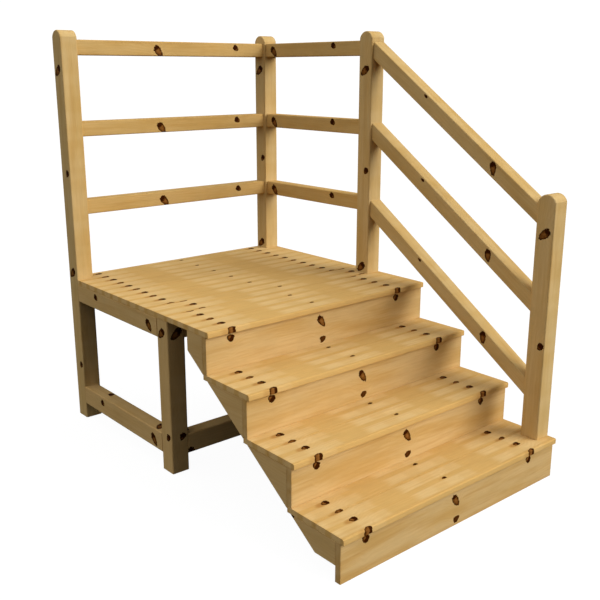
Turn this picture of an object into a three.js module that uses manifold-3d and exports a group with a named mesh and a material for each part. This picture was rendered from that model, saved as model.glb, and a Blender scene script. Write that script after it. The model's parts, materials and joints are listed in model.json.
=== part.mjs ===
// Timber mounting block: four steps up to a railed platform, open on the mounting side.
// Millimetres, +Z up. X runs across the steps, Y runs up the steps, Z = 0 is the ground.
import * as THREE from 'three';
import { mergeVertices } from 'three/addons/utils/BufferGeometryUtils.js';
import Module from 'manifold-3d';

const wasm = await Module();
wasm.setup();

// ---------------------------------------------------------------- driving sizes
const WIDTH = 1040;
const STEP_COUNT = 4;
const STEP_RISE = 150;
const STEP_GOING = 217;
const NOSING = 12;
const BOARD = 20;
const RISER = 22;
const TREAD_BOARD = 125;
const TREAD_DEPTH = 2 * TREAD_BOARD;

const POST = 70;
const POST_TOP = 1565;
const NEWEL_TOP = 1022;
const CROWN = 26;
const FRAME_DEPTH = 750;

const FRAME_RAIL_WIDTH = 58;
const APRON_HEIGHT = 72;
const STRETCHER_TOP = 140;
const STRETCHER_HEIGHT = 76;
const JOIST_WIDTH = 40;

const GUARD_WIDTH = 60;
const GUARD_HEIGHT = 58;
const GUARD_FIRST = 317;
const GUARD_PITCH = 307;
const HANDRAIL_DEPTH = 55;
const HANDRAIL_SLOPE = 0.68;
const HANDRAIL_FIRST = 304;
const HANDRAIL_PITCH = 310;

const DECK_BOARD = 129;

const TENON_LENGTH = 20;
const TENON_SHOULDER = 14;
const GAP = 0.3;

const BRACKET_WIDTH = 40;
const BRACKET_FOOT = 53;
const BRACKET_FOOT_LENGTH = 89;
const BRACKET_TOP_LENGTH = 90;
const CARRIAGE_WIDTH = 40;
const CARRIAGE_DROP = 75;
const LINK_HEIGHT = 70;
const LINK_WIDTH = 60;
const LINK_INSET = 100;

const BOLT_RADIUS = 5;
const BOLT_HEAD_RADIUS = 9;
const BOLT_HEAD = 6;
const BOLT_BITE = 70;
const ROUND_SIDES = 20;
const HEX_SIDES = 6;

const CURVE_SEGMENTS = 24;
const WELD_DISTANCE = 1e-4;

// ---------------------------------------------------------------- places worked out from them
const DECK_TOP = STEP_COUNT * STEP_RISE;
const DECK_UNDER = DECK_TOP - BOARD;
const TOP_RISER_FRONT = (STEP_COUNT - 1) * STEP_GOING;
const DECK_FRONT = TOP_RISER_FRONT - NOSING;
const FRAME_FRONT = DECK_FRONT + TREAD_DEPTH;
const FRAME_BACK = FRAME_FRONT + FRAME_DEPTH;
const NEWEL_FRONT = RISER;
const BRACKET_FOOT_BACK = RISER + BRACKET_FOOT_LENGTH;
const BRACKET_BACK = TOP_RISER_FRONT + RISER + BRACKET_TOP_LENGTH;
const LINK_UNDER = DECK_UNDER - LINK_HEIGHT;

// ---------------------------------------------------------------- looks
const pine = (colour) => new THREE.MeshStandardMaterial({ color: colour, roughness: 0.62, metalness: 0 });
const POST_PINE = pine(0xc79a5b);
const RAIL_PINE = pine(0xcfa366);
const BOARD_PINE = pine(0xd9b378);
const RISER_PINE = pine(0xd4a768);
const FRAME_PINE = pine(0xbd9055);
const ZINC = new THREE.MeshStandardMaterial({ color: 0xa7abb0, roughness: 0.38, metalness: 1 });

const assembly = new THREE.Group();

// ---------------------------------------------------------------- solid helpers
function solidFrom(geometry) {
  geometry.deleteAttribute('normal');
  geometry.deleteAttribute('uv');
  const merged = mergeVertices(geometry, WELD_DISTANCE);
  const mesh = new wasm.Mesh({
    numProp: 3,
    vertProperties: new Float32Array(merged.attributes.position.array),
    triVerts: new Uint32Array(merged.index.array),
  });
  return new wasm.Manifold(mesh);
}

function geometryFrom(solid) {
  const { vertProperties, triVerts } = solid.getMesh();
  const geometry = new THREE.BufferGeometry();
  geometry.setAttribute('position', new THREE.BufferAttribute(new Float32Array(vertProperties), 3));
  geometry.setIndex(new THREE.BufferAttribute(new Uint32Array(triVerts), 1));
  const faceted = geometry.toNonIndexed();
  faceted.computeVertexNormals();
  return faceted;
}

// A box between nominal faces, grown outward on every face by the given amount.
function boxSolid({ x, y, z }, grow = -GAP / 2) {
  const size = [x, y, z].map(([from, to]) => to - from + 2 * grow);
  const middle = [x, y, z].map(([from, to]) => (from + to) / 2);
  const geometry = new THREE.BoxGeometry(...size);
  geometry.translate(...middle);
  return solidFrom(geometry);
}

// An outline in the Y-Z plane, pulled along X.
function extrudeAcross(shape, [from, to], grow = -GAP / 2) {
  const depth = to - from + 2 * grow;
  const settings = { depth, bevelEnabled: false, curveSegments: CURVE_SEGMENTS };
  const geometry = new THREE.ExtrudeGeometry(shape, settings);
  const turn = new THREE.Matrix4().makeBasis(
    new THREE.Vector3(0, 1, 0),
    new THREE.Vector3(0, 0, 1),
    new THREE.Vector3(1, 0, 0),
  );
  geometry.applyMatrix4(turn);
  geometry.translate(from - grow, 0, 0);
  return solidFrom(geometry);
}

function outline(points) {
  return new THREE.Shape(points.map(([y, z]) => new THREE.Vector2(y, z)));
}

function without(solid, cutters) {
  return cutters.reduce((body, cutter) => body.subtract(cutter), solid);
}

function addPiece(name, solid, look) {
  const mesh = new THREE.Mesh(geometryFrom(solid), look);
  mesh.name = name;
  assembly.add(mesh);
}

// ---------------------------------------------------------------- rails with stub tenons
// Every tenon leaves its socket here, and the posts are cut with all of them.
const sockets = [];

// A straight rail runs along one axis between two shoulders; its tenons pass beyond them.
function tenonOf(span, axis) {
  const slim = {};
  for (const key of ['x', 'y', 'z']) {
    const [from, to] = span[key];
    const change = key === axis ? -TENON_LENGTH : TENON_SHOULDER;
    slim[key] = [from + change, to - change];
  }
  return slim;
}

function addRail(name, span, axis, look, cutters = []) {
  const tenon = tenonOf(span, axis);
  sockets.push(boxSolid(tenon, GAP / 2));
  addPiece(name, without(boxSolid(span).add(boxSolid(tenon)), cutters), look);
}

// A sloping handrail has plumb-cut shoulders; it is described by the height of its upper edge.
function slopingSolid(topAtPost, inset, lengthen, grow) {
  const plumb = HANDRAIL_DEPTH * Math.hypot(1, HANDRAIL_SLOPE);
  const start = NEWEL_FRONT + POST - lengthen - grow;
  const end = FRAME_FRONT + lengthen + grow;
  const upper = (y) => topAtPost - (FRAME_FRONT - y) * HANDRAIL_SLOPE - inset + grow;
  const lower = (y) => upper(y) - plumb + 2 * (inset - grow);
  const upperEdge = [[end, upper(end)], [start, upper(start)]];
  const shape = outline([[start, lower(start)], [end, lower(end)], ...upperEdge]);
  return extrudeAcross(shape, [WIDTH - GUARD_WIDTH + inset, WIDTH - inset], grow);
}

function addHandrail(name, topAtPost) {
  const body = slopingSolid(topAtPost, 0, 0, -GAP / 2);
  const tenon = slopingSolid(topAtPost, TENON_SHOULDER, TENON_LENGTH, -GAP / 2);
  sockets.push(slopingSolid(topAtPost, TENON_SHOULDER, TENON_LENGTH, GAP / 2));
  addPiece(name, body.add(tenon), RAIL_PINE);
}

// ---------------------------------------------------------------- bolts
function placedAlong(geometry, start, direction) {
  const up = new THREE.Vector3(0, 1, 0);
  const turn = new THREE.Quaternion().setFromUnitVectors(up, new THREE.Vector3(...direction));
  geometry.applyQuaternion(turn);
  geometry.translate(...start);
  return solidFrom(geometry);
}

function rod(radius, from, to, sides) {
  const geometry = new THREE.CylinderGeometry(radius, radius, to - from, sides);
  geometry.translate(0, (from + to) / 2, 0);
  return geometry;
}

// A coach bolt bears with its hex head on the start point and is driven along the direction.
function boltSolid({ start, direction, length }) {
  const shank = rod(BOLT_RADIUS, -2 * GAP, length, ROUND_SIDES);
  const head = rod(BOLT_HEAD_RADIUS, -BOLT_HEAD - GAP, -GAP, HEX_SIDES);
  return placedAlong(shank, start, direction).add(placedAlong(head, start, direction));
}

function boltHole({ start, direction, length }) {
  const hole = rod(BOLT_RADIUS + GAP, -2 * GAP, length + GAP, ROUND_SIDES);
  return placedAlong(hole, start, direction);
}

// ---------------------------------------------------------------- posts
function postSpan(x, y) {
  return { x: [x, x + POST], y: [y, y + POST] };
}

function crownedPost({ x, y }, bottom, top) {
  const [front, back] = [y[0] + GAP / 2, y[1] - GAP / 2];
  const half = (back - front) / 2;
  const radius = (half * half + CROWN * CROWN) / (2 * CROWN);
  const spread = Math.asin(half / radius);
  const shape = new THREE.Shape();
  shape.moveTo(front, bottom + GAP / 2);
  shape.lineTo(back, bottom + GAP / 2);
  shape.lineTo(back, top - CROWN);
  shape.absarc(front + half, top - radius, radius, Math.PI / 2 - spread, Math.PI / 2 + spread, false);
  return extrudeAcross(shape, x);
}

const posts = {
  post_back_left: postSpan(0, FRAME_BACK - POST),
  post_back_right: postSpan(WIDTH - POST, FRAME_BACK - POST),
  post_front_right: postSpan(WIDTH - POST, FRAME_FRONT),
};
const leg = postSpan(0, FRAME_FRONT);
const newel = postSpan(WIDTH - POST, NEWEL_FRONT);

// ---------------------------------------------------------------- platform frame
const betweenPosts = { x: [POST, WIDTH - POST], y: [FRAME_FRONT + POST, FRAME_BACK - POST] };
const leftBand = { x: [0, FRAME_RAIL_WIDTH], y: betweenPosts.y };
const rightBand = { x: [WIDTH - FRAME_RAIL_WIDTH, WIDTH], y: betweenPosts.y };
const frontBand = { x: betweenPosts.x, y: [FRAME_FRONT, FRAME_FRONT + FRAME_RAIL_WIDTH] };
const backBand = { x: betweenPosts.x, y: [FRAME_BACK - FRAME_RAIL_WIDTH, FRAME_BACK] };
const apronZ = [DECK_UNDER - APRON_HEIGHT, DECK_UNDER];
const stretcherZ = [STRETCHER_TOP - STRETCHER_HEIGHT, STRETCHER_TOP];

// The steps are bolted to the platform's front apron through a link near each side and the carriage.
const linkSpans = {
  left: [LINK_INSET, LINK_INSET + LINK_WIDTH],
  centre: [(WIDTH - CARRIAGE_WIDTH) / 2, (WIDTH + CARRIAGE_WIDTH) / 2],
  right: [WIDTH - LINK_INSET - LINK_WIDTH, WIDTH - LINK_INSET],
};
const linkBolt = ([from, to]) => ({
  start: [(from + to) / 2, FRAME_FRONT + FRAME_RAIL_WIDTH, DECK_UNDER - LINK_HEIGHT / 2],
  direction: [0, -1, 0],
  length: FRAME_RAIL_WIDTH + BOLT_BITE,
});
const linkHoles = Object.values(linkSpans).map((span) => boltHole(linkBolt(span)));

function addFrame() {
  addRail('apron_left', { ...leftBand, z: apronZ }, 'y', FRAME_PINE);
  addRail('apron_right', { ...rightBand, z: apronZ }, 'y', FRAME_PINE);
  addRail('apron_back', { ...backBand, z: apronZ }, 'x', FRAME_PINE);
  addRail('apron_front', { ...frontBand, z: apronZ }, 'x', FRAME_PINE, linkHoles);
  addRail('stretcher_left', { ...leftBand, z: stretcherZ }, 'y', FRAME_PINE);
  addRail('stretcher_right', { ...rightBand, z: stretcherZ }, 'y', FRAME_PINE);
  addRail('stretcher_front', { ...frontBand, z: stretcherZ }, 'x', FRAME_PINE);
  const joistStart = (WIDTH + CARRIAGE_WIDTH) / 2;
  const joist = {
    x: [joistStart, joistStart + JOIST_WIDTH],
    y: [frontBand.y[1], backBand.y[0]],
    z: apronZ,
  };
  addPiece('deck_joist', boxSolid(joist), FRAME_PINE);
}

// ---------------------------------------------------------------- guard rails and handrails
function addGuards() {
  for (const [index, level] of ['bottom', 'middle', 'top'].entries()) {
    const top = DECK_TOP + GUARD_FIRST + index * GUARD_PITCH;
    const z = [top - GUARD_HEIGHT, top];
    const back = { x: betweenPosts.x, y: [FRAME_BACK - GUARD_WIDTH, FRAME_BACK], z };
    const side = { x: [WIDTH - GUARD_WIDTH, WIDTH], y: betweenPosts.y, z };
    addRail(`back_rail_${level}`, back, 'x', RAIL_PINE);
    addRail(`side_rail_${level}`, side, 'y', RAIL_PINE);
    addHandrail(`handrail_${level}`, DECK_TOP + HANDRAIL_FIRST + index * HANDRAIL_PITCH);
  }
}

// ---------------------------------------------------------------- steps
// The brackets' sloping lower edge runs straight from the back of the foot to their top back corner.
const BRACKET_SLOPE = (LINK_UNDER - BRACKET_FOOT) / (BRACKET_BACK - BRACKET_FOOT_BACK);
const slopeHeight = (y) => BRACKET_FOOT + (y - BRACKET_FOOT_BACK) * BRACKET_SLOPE;
const slopePlace = (z) => BRACKET_FOOT_BACK + (z - BRACKET_FOOT) / BRACKET_SLOPE;

// The newel's bolt comes up through the bottom tread, just inside the side bracket.
const newelBolt = {
  start: [WIDTH - (BRACKET_WIDTH + POST) / 2, NEWEL_FRONT + POST / 2, STEP_RISE - BOARD],
  direction: [0, 0, 1],
  length: BOARD + BOLT_BITE,
};

function addSteps() {
  for (let step = 1; step <= STEP_COUNT; step += 1) {
    const front = (step - 1) * STEP_GOING;
    const top = step * STEP_RISE;
    const riser = { x: [0, WIDTH], y: [front, front + RISER], z: [top - STEP_RISE, top - BOARD] };
    addPiece(`riser_${step}`, boxSolid(riser), RISER_PINE);
    if (step === STEP_COUNT) continue;
    addTread(step, front - NOSING, [top - BOARD, top]);
  }
}

// Each tread is two boards side by side; the newel's bolt passes through the very first one.
function addTread(step, lip, z) {
  const holes = step === 1 ? [boltHole(newelBolt)] : [];
  const front = { x: [0, WIDTH], y: [lip, lip + TREAD_BOARD], z };
  const back = { x: [0, WIDTH], y: [lip + TREAD_BOARD, lip + TREAD_DEPTH], z };
  addPiece(`tread_${step}_front`, without(boxSolid(front), holes), BOARD_PINE);
  addPiece(`tread_${step}_back`, boxSolid(back), BOARD_PINE);
}

// The outline of the side bracket that stands under one step, behind its riser.
function bracketOutline(step) {
  const front = (step - 1) * STEP_GOING + RISER + GAP;
  const top = step * STEP_RISE - BOARD - GAP;
  if (step === 1) {
    const foot = [[front, BRACKET_FOOT], [BRACKET_FOOT_BACK, BRACKET_FOOT]];
    return outline([...foot, [slopePlace(top), top], [front, top]]);
  }
  const lowest = [front, slopeHeight(front)];
  if (step === STEP_COUNT) {
    return outline([lowest, [BRACKET_BACK, LINK_UNDER], [BRACKET_BACK, top], [front, top]]);
  }
  return outline([lowest, [slopePlace(top), top], [front, top]]);
}

function addBrackets() {
  const sides = { left: [0, BRACKET_WIDTH], right: [WIDTH - BRACKET_WIDTH, WIDTH] };
  for (const [side, band] of Object.entries(sides)) {
    for (let step = 1; step <= STEP_COUNT; step += 1) {
      addPiece(`bracket_${side}_${step}`, extrudeAcross(bracketOutline(step), band), FRAME_PINE);
    }
  }
}

// The middle carriage is one saw-toothed bearer from the ground to the platform frame.
function addCarriage() {
  const foot = [[RISER + GAP, GAP / 2], [slopePlace(CARRIAGE_DROP), GAP / 2]];
  const neck = [[slopePlace(LINK_UNDER + CARRIAGE_DROP), LINK_UNDER], [FRAME_FRONT - GAP, LINK_UNDER]];
  const points = [...foot, ...neck, [FRAME_FRONT - GAP, DECK_UNDER - GAP]];
  for (let step = STEP_COUNT; step >= 1; step -= 1) {
    const front = (step - 1) * STEP_GOING + RISER + GAP;
    points.push([front, step * STEP_RISE - BOARD - GAP]);
    if (step > 1) points.push([front, (step - 1) * STEP_RISE - BOARD - GAP]);
  }
  const solid = extrudeAcross(outline(points), linkSpans.centre);
  addPiece('carriage_centre', without(solid, linkHoles), FRAME_PINE);
}

function addLinks() {
  for (const side of ['left', 'right']) {
    const link = {
      x: linkSpans[side],
      y: [TOP_RISER_FRONT + RISER, FRAME_FRONT],
      z: [LINK_UNDER, DECK_UNDER],
    };
    addPiece(`link_${side}`, without(boxSolid(link), linkHoles), FRAME_PINE);
  }
}

// ---------------------------------------------------------------- deck
// Full boards from the front edge back; the last one is ripped to what is left, and posts notch three.
function addDeck() {
  const postCuts = Object.values(posts).map(({ x, y }) => boxSolid({ x, y, z: [0, POST_TOP] }, GAP / 2));
  const z = [DECK_UNDER, DECK_TOP];
  const boardCount = Math.ceil((FRAME_BACK - DECK_FRONT) / DECK_BOARD);
  for (let index = 0; index < boardCount; index += 1) {
    const front = DECK_FRONT + index * DECK_BOARD;
    const back = Math.min(front + DECK_BOARD, FRAME_BACK);
    const board = boxSolid({ x: [0, WIDTH], y: [front, back], z });
    addPiece(`deck_board_${index + 1}`, without(board, postCuts), BOARD_PINE);
  }
}

// ---------------------------------------------------------------- posts go in last, with every socket cut
function addPosts() {
  for (const [name, span] of Object.entries(posts)) {
    addPiece(name, without(crownedPost(span, 0, POST_TOP), sockets), POST_PINE);
  }
  const legBlock = boxSolid({ ...leg, z: [0, DECK_UNDER] });
  addPiece('leg_front_left', without(legBlock, sockets), POST_PINE);
  const newelCuts = [...sockets, boltHole(newelBolt)];
  addPiece('newel_post', without(crownedPost(newel, STEP_RISE, NEWEL_TOP), newelCuts), POST_PINE);
}

function addBolts() {
  for (const [side, span] of Object.entries(linkSpans)) {
    addPiece(`link_bolt_${side}`, boltSolid(linkBolt(span)), ZINC);
  }
  addPiece('newel_bolt', boltSolid(newelBolt), ZINC);
}

addFrame();
addGuards();
addSteps();
addBrackets();
addCarriage();
addLinks();
addDeck();
addPosts();
addBolts();

// The origin is the middle of the footprint, on the ground.
assembly.position.set(-WIDTH / 2, -(FRAME_BACK - NOSING) / 2, -GAP / 2);

export default assembly;
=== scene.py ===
import json
import math
import random
from collections import namedtuple

import bmesh
import bpy
import numpy as np
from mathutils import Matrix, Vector


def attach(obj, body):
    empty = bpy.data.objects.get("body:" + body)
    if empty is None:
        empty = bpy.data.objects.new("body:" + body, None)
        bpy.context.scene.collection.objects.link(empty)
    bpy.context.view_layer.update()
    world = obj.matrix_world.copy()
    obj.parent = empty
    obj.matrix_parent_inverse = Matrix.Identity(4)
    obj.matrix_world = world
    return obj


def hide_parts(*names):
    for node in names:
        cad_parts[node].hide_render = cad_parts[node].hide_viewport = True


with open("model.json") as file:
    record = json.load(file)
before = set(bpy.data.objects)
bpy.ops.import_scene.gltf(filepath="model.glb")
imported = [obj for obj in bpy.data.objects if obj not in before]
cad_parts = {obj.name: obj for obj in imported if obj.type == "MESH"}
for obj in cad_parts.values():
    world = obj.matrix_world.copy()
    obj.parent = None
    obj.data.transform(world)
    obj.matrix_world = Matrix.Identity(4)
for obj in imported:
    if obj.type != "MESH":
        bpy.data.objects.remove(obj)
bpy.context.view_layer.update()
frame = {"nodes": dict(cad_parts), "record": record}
scene = bpy.context.scene

SLOT_OF = {part["node"]: part["material_slot"] for part in frame["record"]["subparts"]}
ZINC = "zinc_steel"

X_AXIS = Vector((1, 0, 0))
Y_AXIS = Vector((0, 1, 0))
Z_AXIS = Vector((0, 0, 1))

# ---------------------------------------------------------------- how each timber is cut
# Along is the grain direction, across and through are the wide and the narrow way of the section.
# first_knot is how far the first main knot lies from the timber's start, knot_row how far it lies
# across from the timber's low side. Ease is the radius taken off its corners, nose the radius of
# its top front corner where it is a step's edge. Ends are rounded only where they show.
Timber = namedtuple("Timber", "along across first_knot knot_row ease nose eased_ends")

TENON = 0.02
HANDRAIL_SLOPE = 0.68
HANDRAIL_ALONG = Vector((0, -1, -HANDRAIL_SLOPE)).normalized()
HANDRAIL_ACROSS = Vector((0, -HANDRAIL_SLOPE, 1)).normalized()

POST_EASE = 0.005
RAIL_EASE = 0.0045
NOSE_EASE = 0.005
BOARD_EASE = 0.0012
PLAIN_EASE = 0.0005
BOLT_EASE = 0.0006
SEED = 7

# The boards' knots run in rows that drift a little to the right from one deck board to the next,
# but the deck board that is cut round the front post starts elsewhere in the same pattern.
BOARD_ROW = 0.0645
DECK_KNOT = 0.097
DECK_DRIFT = 0.0022
SHIFTED_BOARD = 3
SHIFTED_KNOT = 0.155
TREAD_KNOT = 0.098


def rail(along, across, first_knot, knot_row):
    return Timber(along, across, first_knot, knot_row, RAIL_EASE, 0, False)


def post(first_knot, knot_row):
    return Timber(-Z_AXIS, -Y_AXIS, first_knot, knot_row, POST_EASE, 0, False)


def board(first_knot, nosed):
    nose = NOSE_EASE if nosed else 0
    return Timber(X_AXIS, Y_AXIS, first_knot, BOARD_ROW, BOARD_EASE, nose, True)


def plain(along, across, first_knot, knot_row):
    return Timber(along, across, first_knot, knot_row, PLAIN_EASE, 0, True)


def deck_board(number):
    if number == SHIFTED_BOARD:
        return board(SHIFTED_KNOT, False)
    return board(DECK_KNOT + DECK_DRIFT * (number - 1), number == 1)


# The first knots lie where the photograph shows them, and anywhere on a timber that it hides.
CUTS = {
    "post": post(0.150, 0.032),
    "leg": post(0.052, 0.029),
    "newel": post(0.135, 0.035),
    "back_rail": rail(X_AXIS, Z_AXIS, 0.360 + TENON, 0.019),
    "side_rail": rail(-Y_AXIS, Z_AXIS, 0.057 + TENON, 0.023),
    "handrail": rail(HANDRAIL_ALONG, HANDRAIL_ACROSS, 0.758, 0.0295),
    "apron": rail(-Y_AXIS, Z_AXIS, 0.555 + TENON, 0.031),
    "apron_back": rail(X_AXIS, Z_AXIS, 0.310 + TENON, 0.034),
    "apron_front": rail(X_AXIS, Z_AXIS, 0.310 + TENON, 0.034),
    "stretcher": rail(-Y_AXIS, Z_AXIS, 0.555 + TENON, 0.031),
    "stretcher_front": rail(X_AXIS, Z_AXIS, -0.379 + TENON, -0.010),
    "riser": plain(X_AXIS, Z_AXIS, 0.502, 0.089),
    "bracket": plain(Y_AXIS, Z_AXIS, 0.6, 0.06),
    "carriage": plain(-HANDRAIL_ALONG, HANDRAIL_ACROSS, 0.3, 0.05),
    "link": plain(Y_AXIS, Z_AXIS, 0.1, 0.03),
    "deck_joist": plain(Y_AXIS, Z_AXIS, 0.25, 0.03),
}


def timber_of(node):
    """How a CAD node's timber is cut, from the most exact entry that the node's name starts with."""
    if node.startswith("deck_board"):
        return deck_board(int(node.rpartition("_")[2]))
    if node.startswith("tread"):
        return board(TREAD_KNOT, node.endswith("front"))
    return CUTS[max((name for name in CUTS if node.startswith(name)), key=len)]


# ---------------------------------------------------------------- geometry
WELD = 1e-5
FLAT_ANGLE = math.radians(0.5)
SHARP_ANGLE = math.radians(40)
ON_HULL = 2e-5
EASE_SEGMENTS = 4


def welded_copy(node):
    """The CAD node's solid as a bmesh, with its triangles joined back into plain faces."""
    solid = bmesh.new()
    solid.from_mesh(frame["nodes"][node].data)
    bmesh.ops.remove_doubles(solid, verts=solid.verts, dist=WELD)
    bmesh.ops.dissolve_limit(
        solid, angle_limit=FLAT_ANGLE, verts=solid.verts, edges=solid.edges, delimit=set()
    )
    solid.normal_update()
    return solid


def outer_faces(solid):
    """The faces that nothing of the solid reaches beyond, so not the walls of sockets and notches."""
    points = np.array([v.co for v in solid.verts])
    found = set()
    for face in solid.faces:
        reach = points @ np.array(face.normal) - face.verts[0].co.dot(face.normal)
        if reach.max() < ON_HULL:
            found.add(face)
    return found


def corner_edges(solid, along, eased_ends):
    """The outer corners of a timber, without those round its ends unless the ends are eased."""
    outer = outer_faces(solid)
    places = [v.co.dot(along) for v in solid.verts]
    low, high = min(places) + ON_HULL, max(places) - ON_HULL
    for edge in solid.edges:
        if len(edge.link_faces) != 2 or not all(f in outer for f in edge.link_faces):
            continue
        if edge.calc_face_angle() < SHARP_ANGLE:
            continue
        ends = [v.co.dot(along) for v in edge.verts]
        if not eased_ends and (max(ends) <= low or min(ends) >= high):
            continue
        yield edge


def ease(solid, edges, radius):
    bmesh.ops.bevel(
        solid,
        geom=edges,
        offset=radius,
        offset_type="OFFSET",
        segments=EASE_SEGMENTS,
        profile=0.5,
        affect="EDGES",
        clamp_overlap=False,
    )
    solid.normal_update()


def ease_corners(solid, timber):
    """Rounds a step's lip first, then eases the corners that are left."""
    if timber.nose:
        front = min(v.co.y for v in solid.verts) + ON_HULL
        top = max(v.co.z for v in solid.verts) - ON_HULL
        corners = corner_edges(solid, timber.along, True)
        lip = [e for e in corners if all(v.co.y <= front and v.co.z >= top for v in e.verts)]
        ease(solid, lip, timber.nose)
    ease(solid, list(corner_edges(solid, timber.along, timber.eased_ends)), timber.ease)


def write_constant(mesh, name, kind, value):
    layer = mesh.attributes.new(name, kind, "POINT")
    field = "value" if kind == "FLOAT" else "vector"
    layer.data.foreach_set(field, np.resize(value, len(mesh.vertices) * np.size(value)))


def write_grain(mesh, timber, seed):
    """Each point's place in the wood, in metres: from the timber's middle, and from its first knot."""
    axes = np.array([timber.along, timber.across, timber.along.cross(timber.across)])
    points = np.array([v.co for v in mesh.vertices]) @ axes.T
    low, high = points.min(0), points.max(0)
    middle, half = (low + high) / 2, (high - low) / 2
    knot = np.array([low[0] + timber.first_knot, low[1] + timber.knot_row, middle[2]])
    place = mesh.attributes.new("place", "FLOAT_VECTOR", "POINT")
    place.data.foreach_set("vector", (points - middle).ravel())
    grain = mesh.attributes.new("grain", "FLOAT_VECTOR", "POINT")
    grain.data.foreach_set("vector", (points - knot).ravel())
    write_constant(mesh, "half", "FLOAT_VECTOR", half)
    write_constant(mesh, "length_way", "FLOAT_VECTOR", timber.along)
    write_constant(mesh, "wide_way", "FLOAT_VECTOR", timber.across)
    write_constant(mesh, "seed", "FLOAT", [seed])


def shade_smooth(piece):
    """Flat faces stay flat and rounded corners shade round; corners that were left sharp stay sharp."""
    mesh = piece.data
    mesh.polygons.foreach_set("use_smooth", [True] * len(mesh.polygons))
    mesh.set_sharp_from_angle(angle=SHARP_ANGLE)
    normals = piece.modifiers.new("flat faces", "WEIGHTED_NORMAL")
    normals.keep_sharp = True


def add_piece(node, solid, material):
    """The visible piece that stands for a CAD node, with the material that it is given."""
    mesh = bpy.data.meshes.new(node)
    solid.to_mesh(mesh)
    solid.free()
    piece = bpy.data.objects.new(f"{node}_look", mesh)
    scene.collection.objects.link(piece)
    mesh.materials.append(material)
    shade_smooth(piece)
    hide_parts(node)
    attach(piece, "root")
    return piece


def add_timbers(materials):
    draws = random.Random(SEED)
    for node in sorted(SLOT_OF):
        if SLOT_OF[node] == ZINC:
            continue
        timber = timber_of(node)
        solid = welded_copy(node)
        ease_corners(solid, timber)
        piece = add_piece(node, solid, material_of(node, materials))
        write_grain(piece.data, timber, draws.random())


def add_bolts(material):
    for node in sorted(SLOT_OF):
        if SLOT_OF[node] != ZINC:
            continue
        solid = welded_copy(node)
        sharp = [e for e in solid.edges if e.calc_face_angle(0) > SHARP_ANGLE]
        ease(solid, sharp, BOLT_EASE)
        add_piece(node, solid, material)


# ---------------------------------------------------------------- node building
class Graph:
    """Short names for the nodes of a material or world, each giving back its output socket."""

    def __init__(self, holder):
        holder.use_nodes = True
        self.tree = holder.node_tree
        self.shader = self.tree.nodes.get("Principled BSDF")

    def node(self, kind, **settings):
        made = self.tree.nodes.new(kind)
        for name, value in settings.items():
            setattr(made, name, value)
        return made

    def feed(self, socket, value):
        if isinstance(value, bpy.types.NodeSocket):
            self.tree.links.new(value, socket)
        else:
            socket.default_value = value

    def attribute(self, name, output="Vector"):
        return self.node("ShaderNodeAttribute", attribute_name=name).outputs[output]

    def outputs(self, made, *values):
        """The outputs of a node whose first inputs are fed these values in order."""
        for socket, value in zip(made.inputs, values):
            self.feed(socket, value)
        return made.outputs

    def math(self, operation, *values):
        made = self.node("ShaderNodeMath", operation=operation)
        return self.outputs(made, *values)[0]

    def vector(self, operation, *values):
        made = self.node("ShaderNodeVectorMath", operation=operation)
        outputs = self.outputs(made, *values)
        return outputs["Value" if operation in ("LENGTH", "DOT_PRODUCT") else "Vector"]

    def split(self, vector):
        return self.outputs(self.node("ShaderNodeSeparateXYZ"), vector)

    def join(self, x, y, z):
        return self.outputs(self.node("ShaderNodeCombineXYZ"), x, y, z)[0]

    def remap(self, value, start, end, low=0.0, high=1.0):
        """low where value is at start, high where it is at end, and smooth between the two."""
        made = self.node("ShaderNodeMapRange", interpolation_type="SMOOTHSTEP")
        return self.outputs(made, value, start, end, low, high)[0]

    def noise(self, vector, scale, detail=2.0, roughness=0.5):
        made = self.node("ShaderNodeTexNoise")
        self.feed(made.inputs["Vector"], vector)
        made.inputs["Scale"].default_value = scale
        made.inputs["Detail"].default_value = detail
        made.inputs["Roughness"].default_value = roughness
        return made.outputs["Fac"]

    def mix(self, factor, first, second, blend="MIX"):
        made = self.node("ShaderNodeMix", data_type="RGBA", blend_type=blend)
        self.feed(made.inputs["Factor"], factor)
        self.feed(made.inputs[6], first)
        self.feed(made.inputs[7], second)
        return made.outputs[2]

    def multiply(self, colour, other):
        return self.mix(1.0, colour, other, "MULTIPLY")


# ---------------------------------------------------------------- pine
# A knot's place and half sizes are in metres in the wood, and head is the angle from the grain to
# its blunt, dark end. Cap is where along its length the dark end starts, from -1 to 1, dark how
# black that end and the rim are, and tail how strong the stain behind the knot is. A side knot
# runs through the timber the wide way, so it shows on the narrow faces. Knots repeat at the pitch,
# and the taper makes them wider at the head than at the tail.
Knot = namedtuple("Knot", "along across length width head cap dark tail side", defaults=(0.0, False))

KNOT_PITCH = 0.793
KNOT_TAPER = 0.28
LONG_KNOT = Knot(0.0, 0.0, 0.0262, 0.0145, math.radians(130), 0.1, 1.0)
SMALL_KNOT = Knot(0.391, 0.0180, 0.0148, 0.0118, math.radians(150), -0.5, 1.0)
TIMBER_KNOTS = (LONG_KNOT, SMALL_KNOT)
SQUARED_KNOTS = (
    *TIMBER_KNOTS,
    LONG_KNOT._replace(side=True),
    SMALL_KNOT._replace(across=0.0115, side=True),
)
HANDRAIL_KNOTS = (
    LONG_KNOT._replace(length=0.0245, width=0.0130),
    SMALL_KNOT._replace(across=0.0165, length=0.0095, width=0.0050, head=0.0),
)
RISER_KNOTS = (
    LONG_KNOT._replace(along=0.003, length=0.0262, width=0.0126, head=math.radians(125), cap=0.25),
    Knot(0.390, 0.0220, 0.0150, 0.0125, math.radians(-30), -0.3, 1.0),
    Knot(0.010, -0.068, 0.0148, 0.0112, math.radians(200), -0.8, 0.8),
)
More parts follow.
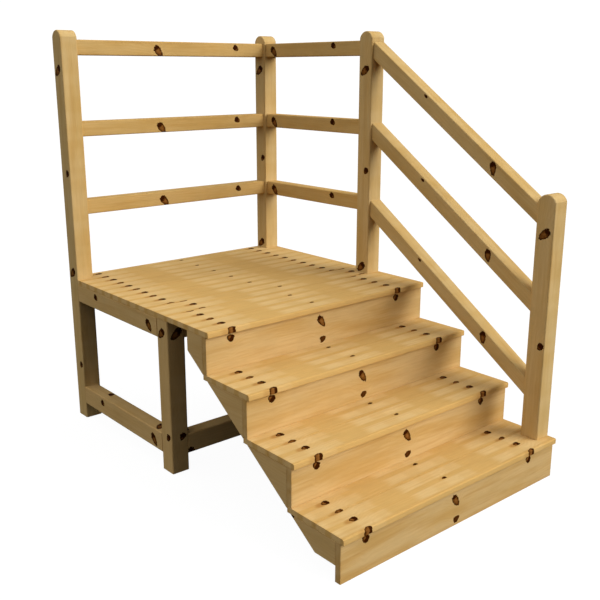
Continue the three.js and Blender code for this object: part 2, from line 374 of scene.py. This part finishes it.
BOARD_KNOTS = (
    Knot(0.002, 0.001, 0.0150, 0.0115, math.radians(5), -0.2, 1.0, tail=0.6),
    Knot(0.405, -0.001, 0.0105, 0.0058, math.radians(5), -0.4, 1.0, tail=0.2),
    Knot(0.0, BOARD_ROW, 0.0160, 0.0105, math.radians(5), 0.3, 0.6, tail=0.5),
    Knot(0.0, -BOARD_ROW, 0.0160, 0.0105, math.radians(5), 0.3, 0.6, tail=0.5),
)
NOSING_KNOTS = (*BOARD_KNOTS[:3], BOARD_KNOTS[3]._replace(cap=0.1, dark=0.95, tail=0.3))

PALE_WOOD = (0.640, 0.438, 0.190)
ORANGE_WOOD = (0.565, 0.350, 0.116)
LATE_WOOD = (0.470, 0.250, 0.070)
KNOT_BLACK = (0.038, 0.008, 0.0004, 1)
KNOT_BROWN = (0.155, 0.055, 0.009, 1)
KNOT_HEART = (0.245, 0.098, 0.021, 1)
KNOT_STAIN = (0.62, 0.42, 0.26, 1)
HANDLED = (0.86, 0.76, 0.62, 1)
SAWN_END = (0.97, 0.95, 0.92, 1)

# The heart of the log lies deep under each timber, a little to one side, and the rings run round it.
RING_GAP = 0.0052
PITH_DEPTH = 0.085
PITH_SPREAD = 0.07
RING_WANDER = 7.0
RING_BEND = 1.8

# How often each figure in the wood changes in a metre: along, across and through the grain, or one
# number where it is the same in every direction. Timber apart is how far a seed moves the figures.
WANDER_FIGURE = (1.3, 9.0, 9.0)
SWAY_FIGURE = (3.0, 22.0, 22.0)
STREAK_FIGURE = (4.0, 70.0, 70.0)
FIBRE_FIGURE = (30.0, 900.0, 900.0)
MOTTLE_FIGURE = (9.0, 20.0, 20.0)
RAGGED_FIGURE = 150.0
WORN_FIGURE = 45.0
TIMBER_APART = (37.0, 11.0, 23.0)

# The bands along a board: how far apart the orange patches are, and where the first orange patch,
# the first of the faint bands between them and the first clear band start from the main knot.
ORANGE_PITCH = 0.3975
ORANGE_START = 0.195
FAINT_START = 0.373
CLEAR_START = 0.036

CORNER_WEAR = 0.3
BUMP_STRENGTH = 0.2
BUMP_HEIGHT = 0.0005
# Any more shine on the bare wood greys its dark knots where they are seen at a slant.
BARE_SHINE = 0.01


def figure(g, grain, per_metre, detail=2.0):
    """Noise that is drawn out along the grain."""
    return g.noise(g.vector("MULTIPLY", grain, per_metre), 1.0, detail)


def facing(g, way):
    """1 where the surface faces straight along one of its timber's own ways, 0 square to it."""
    normal = g.node("ShaderNodeNewGeometry").outputs["Normal"]
    return g.math("ABSOLUTE", g.vector("DOT_PRODUCT", normal, g.attribute(way)))


def knot_field(g, grain, knot, wobble):
    """How far a point is from a knot, 1 at its rim, and its place along the knot, 1 at the head."""
    u, v, w = g.split(grain)
    along = g.math("WRAP", g.math("SUBTRACT", u, knot.along), KNOT_PITCH / 2, -KNOT_PITCH / 2)
    across = g.math("MULTIPLY", w, -1.0) if knot.side else v
    made = g.node("ShaderNodeMapping", vector_type="TEXTURE")
    g.feed(made.inputs["Vector"], g.join(along, across, 0.0))
    made.inputs["Location"].default_value = (0, knot.across, 0)
    made.inputs["Rotation"].default_value = (0, 0, knot.head)
    made.inputs["Scale"].default_value = (knot.length, knot.width, 1)
    x, y, _ = g.split(made.outputs[0])
    narrowed = g.math("MULTIPLY", y, g.math("MULTIPLY_ADD", x, -KNOT_TAPER, 1.0))
    distance = g.math("ADD", g.vector("LENGTH", g.join(x, narrowed, 0.0)), wobble)
    return distance, x, y


def growth_rings(g, grain, seed, nearness):
    """Bands of late wood round a pith that lies under the timber, bent round the knots."""
    wander = figure(g, grain, WANDER_FIGURE)
    centre = g.math("MULTIPLY_ADD", seed, PITH_SPREAD, -PITH_SPREAD / 2)
    _, v, w = g.split(grain)
    across = g.math("SUBTRACT", v, centre)
    deep = g.math("ADD", w, PITH_DEPTH)
    radius = g.vector("LENGTH", g.join(across, deep, 0.0))
    turns = g.math("DIVIDE", radius, RING_GAP)
    turns = g.math("MULTIPLY_ADD", wander, RING_WANDER, turns)
    turns = g.math("MULTIPLY_ADD", nearness, RING_BEND, turns)
    phase = g.math("FRACT", turns)
    rise = g.remap(phase, 0.25, 0.82)
    fall = g.remap(phase, 0.86, 1.0, 1.0, 0.0)
    return g.math("MULTIPLY", rise, fall)


def second_smallest(g, x, y, z):
    smaller, larger = g.math("MINIMUM", x, y), g.math("MAXIMUM", x, y)
    return g.math("MAXIMUM", smaller, g.math("MINIMUM", larger, z))


def corner_wear(g, grain):
    """1 at the timber's corners, fading over a few millimetres in an uneven way."""
    place = g.vector("ABSOLUTE", g.attribute("place"))
    inset = g.split(g.vector("SUBTRACT", g.attribute("half"), place))
    distance = second_smallest(g, *inset)
    uneven = g.noise(grain, WORN_FIGURE, 3.0)
    reach = g.math("MULTIPLY_ADD", uneven, 0.012, 0.001)
    return g.remap(g.math("DIVIDE", distance, reach), 0.0, 1.0, 1.0, 0.0)


def flat_wave(g, value, pitch, start, low, high):
    """1 in bands centred on start and every pitch on, 0 between them. low and high set their width."""
    turn = g.math("MULTIPLY", g.math("SUBTRACT", value, start), 2 * math.pi / pitch)
    return g.remap(g.math("COSINE", turn), low, high)


def board_bands(g, grain, sway):
    """Orange bands along each row of knots, and orange patches between the knots."""
    u, v, _ = g.split(grain)
    row = flat_wave(g, g.math("MULTIPLY_ADD", sway, 0.012, v), BOARD_ROW, 0.006, -0.05, 0.75)
    swayed = g.math("MULTIPLY_ADD", sway, 0.04, u)
    patch = flat_wave(g, swayed, ORANGE_PITCH, ORANGE_START, 0.2, 0.8)
    faint = flat_wave(g, swayed, ORANGE_PITCH / 3, FAINT_START, -0.5, 0.7)
    patch = g.math("MAXIMUM", patch, g.math("MULTIPLY", faint, 0.4))
    clear = flat_wave(g, u, KNOT_PITCH, CLEAR_START, 0.93, 0.98)
    tone = g.math("MAXIMUM", row, patch)
    return g.math("MULTIPLY", tone, g.math("MULTIPLY_ADD", clear, -0.4, 1.0))


def timber_bands(g, grain, sway):
    """Soft changes of tone along the timber, with bands right across its narrow faces."""
    u, _, _ = g.split(grain)
    steps = g.noise(g.join(g.math("MULTIPLY", u, 13.0), 0.0, 0.0), 1.0, 1.0)
    narrow = g.remap(facing(g, "wide_way"), 0.3, 0.8, 0.1, 0.35)
    steps = g.math("MULTIPLY", g.remap(steps, 0.4, 0.6), narrow)
    return g.math("ADD", g.remap(sway, 0.35, 0.75, 0.0, 0.7), steps)


def riser_bands(g, grain, sway):
    """Soft streaks of tone along the board."""
    return g.remap(sway, 0.35, 0.7)


def stain_tail(g, colour, strength, x, y):
    """The resin stain that a knot leaves along the grain on its narrow side."""
    back = g.math("MULTIPLY_ADD", x, 0.55, 0.6)
    reach = g.vector("LENGTH", g.join(back, g.math("MULTIPLY", y, 0.8), 0.0))
    stain = g.remap(reach, 0.4, 1.1, strength, 0.0)
    return g.mix(stain, colour, g.multiply(colour, KNOT_STAIN))


def knot_wood(g, knot, distance, x, ragged):
    """A knot's own colour: a brown body with a paler heart, a black head and a dark rim."""
    heart = g.remap(g.math("ADD", distance, ragged), 0.6, 1.1, 1.0, 0.0)
    body = g.mix(heart, KNOT_BROWN, KNOT_HEART)
    place = g.math("MULTIPLY_ADD", ragged, 0.8, g.math("SUBTRACT", x, 0.4))
    head = g.remap(place, knot.cap, knot.cap + 0.3)
    rim = g.remap(distance, 0.6, 0.84, 0.0, 0.9)
    shade = g.math("MULTIPLY", g.math("MAXIMUM", head, rim), knot.dark)
    return g.mix(shade, body, KNOT_BLACK)


# Each stock's knots, the function that gives where it is orange and not pale, how orange it is
# there, and what its colours are multiplied by.
Wood = namedtuple("Wood", "knots bands orange tint")


def tinted(colour, tint):
    return (*(channel * change for channel, change in zip(colour, tint)), 1)


def bare_wood(g, wood, grain, apart, seed, rings, fibres):
    """The colour of the wood without its knots: orange bands, late wood, streaks and fibres."""
    sway = figure(g, apart, SWAY_FIGURE, 3.0)
    streaks = figure(g, apart, STREAK_FIGURE, 3.0)
    mottle = figure(g, apart, MOTTLE_FIGURE)
    tone = g.math("MULTIPLY", wood.bands(g, grain, sway), wood.orange)
    colour = g.mix(tone, tinted(PALE_WOOD, wood.tint), tinted(ORANGE_WOOD, wood.tint))
    late = g.math("MULTIPLY", rings, g.remap(mottle, 0.35, 0.7, 0.06, 0.2))
    late = g.math("ADD", late, g.remap(streaks, 0.48, 0.78, 0.0, 0.3))
    colour = g.mix(late, colour, tinted(LATE_WOOD, wood.tint))
    light = g.remap(mottle, 0.3, 0.7, 0.97, 1.03)
    light = g.math("MULTIPLY", light, g.remap(fibres, 0.3, 0.7, 0.96, 1.04))
    light = g.math("MULTIPLY", light, g.math("MULTIPLY_ADD", seed, 0.04, 0.98))
    return g.multiply(colour, g.join(light, light, light))


def with_knots(g, colour, knots, fields, ragged):
    """The stains first, so that no stain lies over another knot."""
    for knot, (_, x, y) in zip(knots, fields):
        if knot.tail:
            colour = stain_tail(g, colour, knot.tail, x, y)
    for knot, (distance, x, _) in zip(knots, fields):
        inside = g.remap(distance, 1.06, 0.96)
        colour = g.mix(inside, colour, knot_wood(g, knot, distance, x, ragged))
    return colour


def with_wear(g, colour, grain):
    """Corners darkened by hands and boots, and sawn ends a little darker than the planed sides."""
    wear = g.math("MULTIPLY", corner_wear(g, grain), CORNER_WEAR)
    colour = g.mix(wear, colour, g.multiply(colour, HANDLED))
    end = g.remap(facing(g, "length_way"), 0.7, 0.95)
    return g.mix(end, colour, g.multiply(colour, SAWN_END))


def planed_surface(g, nearest, rings, fibres):
    """Late wood and knots a little glossier than the rest, and standing a little proud of it."""
    gloss = g.remap(nearest, 0.9, 1.2, 0.5, 0.6)
    gloss = g.math("MULTIPLY_ADD", rings, -0.05, gloss)
    gloss = g.math("MULTIPLY_ADD", fibres, 0.1, gloss)
    g.feed(g.shader.inputs["Roughness"], gloss)
    g.shader.inputs["Specular IOR Level"].default_value = BARE_SHINE
    height = g.math("MULTIPLY_ADD", rings, 0.35, fibres)
    height = g.math("MULTIPLY_ADD", g.remap(nearest, 0.7, 1.2, 1.0, 0.0), 0.9, height)
    bump = g.node("ShaderNodeBump")
    bump.inputs["Strength"].default_value = BUMP_STRENGTH
    bump.inputs["Distance"].default_value = BUMP_HEIGHT
    g.feed(bump.inputs["Height"], height)
    g.feed(g.shader.inputs["Normal"], bump.outputs[0])


def make_pine(name, wood):
    """Planed pine with knots, for one stock of timber."""
    material = bpy.data.materials.new(name)
    g = Graph(material)
    seed = g.attribute("seed", "Fac")
    grain = g.attribute("grain")
    apart = g.vector("MULTIPLY_ADD", g.join(seed, seed, seed), TIMBER_APART, grain)

    ragged = g.noise(apart, RAGGED_FIGURE, 2.0, 0.6)
    wobble = g.math("MULTIPLY_ADD", ragged, 0.7, -0.35)
    fields = [knot_field(g, grain, knot, wobble) for knot in wood.knots]
    nearest = fields[0][0]
    for distance, _, _ in fields[1:]:
        nearest = g.math("MINIMUM", nearest, distance)
    nearness = g.remap(nearest, 0.8, 4.0, 1.0, 0.0)

    rings = growth_rings(g, apart, seed, nearness)
    fibres = figure(g, apart, FIBRE_FIGURE)
    colour = bare_wood(g, wood, grain, apart, seed, rings, fibres)
    colour = with_knots(g, colour, wood.knots, fields, ragged)
    g.feed(g.shader.inputs["Base Color"], with_wear(g, colour, apart))
    planed_surface(g, nearest, rings, fibres)
    return material


# ---------------------------------------------------------------- zinc
ZINC_DARK = (0.50, 0.51, 0.53, 1)
ZINC_LIGHT = (0.68, 0.69, 0.70, 1)
ZINC_CRYSTALS = 450.0
ZINC_DULLING = 220.0


def make_zinc():
    """Zinc plating: pale grey with a faint patchwork of crystals, dulled here and there."""
    material = bpy.data.materials.new(ZINC)
    g = Graph(material)
    place = g.node("ShaderNodeTexCoord").outputs["Object"]
    crystals = g.node("ShaderNodeTexVoronoi")
    crystals.inputs["Scale"].default_value = ZINC_CRYSTALS
    g.feed(crystals.inputs["Vector"], place)
    patch = g.split(crystals.outputs["Color"])[0]
    dull = g.noise(place, ZINC_DULLING, 4.0)
    g.feed(g.shader.inputs["Base Color"], g.mix(patch, ZINC_DARK, ZINC_LIGHT))
    g.feed(g.shader.inputs["Roughness"], g.remap(dull, 0.3, 0.7, 0.28, 0.46))
    g.shader.inputs["Metallic"].default_value = 1.0
    return material


# ---------------------------------------------------------------- camera, floor and light
CAMERA_PLACE = Vector((-1.9615, -2.3363, 1.4221))
CAMERA_TURN = math.radians(40.3)
CAMERA_TILT = math.radians(-15.4)
CAMERA_LENS = 50.32
SENSOR = 36

LIGHT_FROM = Vector((0.66, -1.0, 0.6))
LIGHT_SPREAD = math.radians(48)
LIGHT_STRENGTH = 3.26
GLOW_FROM = (-0.8, 0.6, 0.0)
GLOW_STRENGTH = 0.72
SKY_STRENGTH = 0.70
BACKDROP_STRENGTH = 1.05
FLOOR_HALF = 40
FLOOR_COLOUR = (0.08, 0.08, 0.08, 1)
FLOOR_GLOW = 0.96
WHITE = (1, 1, 1, 1)


def heading(turn, tilt):
    """The direction that is turned from +Y towards +X, and tilted up."""
    level = math.cos(tilt)
    return Vector((math.sin(turn) * level, math.cos(turn) * level, math.sin(tilt)))


def add_camera():
    data = bpy.data.cameras.new("camera")
    data.sensor_width = SENSOR
    data.lens = CAMERA_LENS
    camera = bpy.data.objects.new("camera", data)
    scene.collection.objects.link(camera)
    camera.location = CAMERA_PLACE
    camera.rotation_euler = heading(CAMERA_TURN, CAMERA_TILT).to_track_quat("-Z", "Y").to_euler()
    scene.camera = camera


def add_light():
    data = bpy.data.lights.new("soft light", "SUN")
    data.energy = LIGHT_STRENGTH
    data.angle = LIGHT_SPREAD
    light = bpy.data.objects.new("soft light", data)
    scene.collection.objects.link(light)
    light.rotation_euler = LIGHT_FROM.to_track_quat("Z", "Y").to_euler()


def add_world():
    """White to look at. As light it is a soft glow from above and from the back left."""
    world = bpy.data.worlds.new("studio")
    scene.world = world
    g = Graph(world)
    g.tree.nodes.clear()
    direction = g.node("ShaderNodeTexCoord").outputs["Generated"]
    _, _, up = g.split(direction)
    side = g.math("MAXIMUM", g.vector("DOT_PRODUCT", direction, GLOW_FROM), 0.0)
    glow = g.math("MULTIPLY_ADD", side, GLOW_STRENGTH, g.math("MULTIPLY", up, SKY_STRENGTH))
    sky = g.node("ShaderNodeBackground")
    g.feed(sky.inputs["Strength"], g.math("MULTIPLY", g.math("GREATER_THAN", up, 0.0), glow))
    backdrop = g.node("ShaderNodeBackground")
    backdrop.inputs["Strength"].default_value = BACKDROP_STRENGTH
    for background in (sky, backdrop):
        background.inputs["Color"].default_value = WHITE
    choice = g.node("ShaderNodeMixShader")
    seen = g.node("ShaderNodeLightPath").outputs["Is Camera Ray"]
    surface = g.outputs(choice, seen, sky.outputs[0], backdrop.outputs[0])[0]
    g.feed(g.node("ShaderNodeOutputWorld").inputs["Surface"], surface)


def add_floor():
    """A plain white floor that takes only a faint shadow and throws no light back."""
    sheet = bmesh.new()
    bmesh.ops.create_grid(sheet, x_segments=1, y_segments=1, size=FLOOR_HALF)
    mesh = bpy.data.meshes.new("floor")
    sheet.to_mesh(mesh)
    sheet.free()
    floor = bpy.data.objects.new("floor", mesh)
    scene.collection.objects.link(floor)
    material = bpy.data.materials.new("floor")
    material.use_nodes = True
    shader = material.node_tree.nodes["Principled BSDF"]
    shader.inputs["Base Color"].default_value = FLOOR_COLOUR
    shader.inputs["Roughness"].default_value = 1.0
    shader.inputs["Specular IOR Level"].default_value = 0.0
    shader.inputs["Emission Color"].default_value = WHITE
    shader.inputs["Emission Strength"].default_value = FLOOR_GLOW
    mesh.materials.append(material)
    floor.visible_diffuse = False
    floor.visible_glossy = False


# ---------------------------------------------------------------- the scene
FRAME_TINT = (1.0, 0.98, 0.95)
BOARD_TINT = (1.11, 1.11, 1.09)
WOODS = {
    "post": Wood(TIMBER_KNOTS, timber_bands, 1.0, (0.99, 1.02, 1.04)),
    "squared": Wood(SQUARED_KNOTS, timber_bands, 0.7, FRAME_TINT),
    "rail": Wood(TIMBER_KNOTS, timber_bands, 1.0, (0.965, 0.925, 0.80)),
    "handrail": Wood(HANDRAIL_KNOTS, timber_bands, 1.0, (0.93, 0.95, 0.94)),
    "frame": Wood(TIMBER_KNOTS, timber_bands, 0.7, FRAME_TINT),
    "riser": Wood(RISER_KNOTS, riser_bands, 1.0, (0.965, 0.945, 0.93)),
    "board": Wood(BOARD_KNOTS, board_bands, 0.9, BOARD_TINT),
    "nosing": Wood(NOSING_KNOTS, board_bands, 0.9, BOARD_TINT),
}


def make_materials():
    return {name: make_pine(f"{name}_pine", wood) for name, wood in WOODS.items()}


def material_of(node, materials):
    """The pine of the node's slot, but for the few timbers whose knots or tint are their own."""
    if node.startswith("stretcher") or node == "leg_front_left":
        return materials["squared"]
    if node.startswith("handrail"):
        return materials["handrail"]
    if timber_of(node).nose:
        return materials["nosing"]
    return materials[SLOT_OF[node].removesuffix("_pine")]


add_camera()
add_light()
add_world()
add_floor()
add_timbers(make_materials())
add_bolts(make_zinc())
scene.view_settings.view_transform = "Standard"
